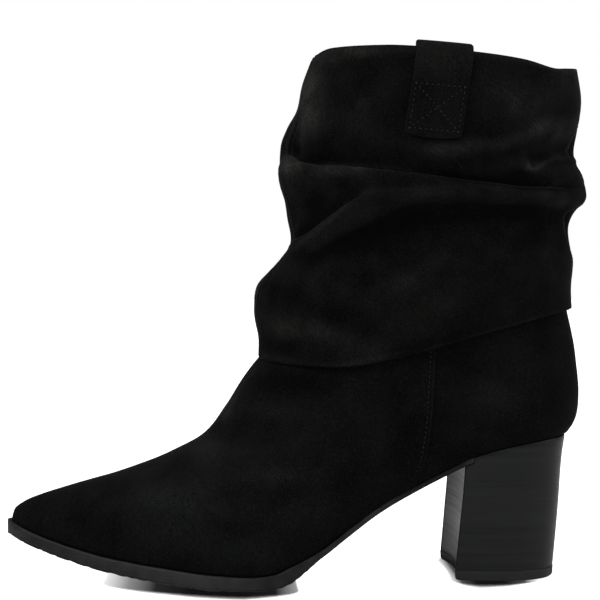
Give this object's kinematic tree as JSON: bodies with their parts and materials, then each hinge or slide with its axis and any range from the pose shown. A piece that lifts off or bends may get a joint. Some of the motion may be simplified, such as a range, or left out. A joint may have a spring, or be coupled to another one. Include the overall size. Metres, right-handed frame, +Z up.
{
  "type": "slouch ankle boot",
  "caption": "Left ankle boot in dark suede with a slouched folded shaft, pointed toe, stacked block heel and a pull loop at the collar.",
  "frame": {"origin": "middle of the boot's bounding box, on the floor it stands on", "axes": "+X from the toe to the heel, +Y from the outer side to the inner side, +Z up"},
  "size_m": [0.2622, 0.0958, 0.2366],
  "materials": {
    "black_suede": "napped suede",
    "black_strap": "napped suede",
    "sole_rubber": "satin",
    "heel_stack": "waxed stacked layers",
    "lift_rubber": "matte",
    "insole_leather": "matte"
  },
  "bodies": {
    "root": {"outsole": "sole_rubber", "heel": "heel_stack", "top_lift": "lift_rubber", "upper": "black_suede", "shaft": "black_suede", "pull_loop": "black_strap", "insole": "insole_leather"}
  },
  "joints": []
}
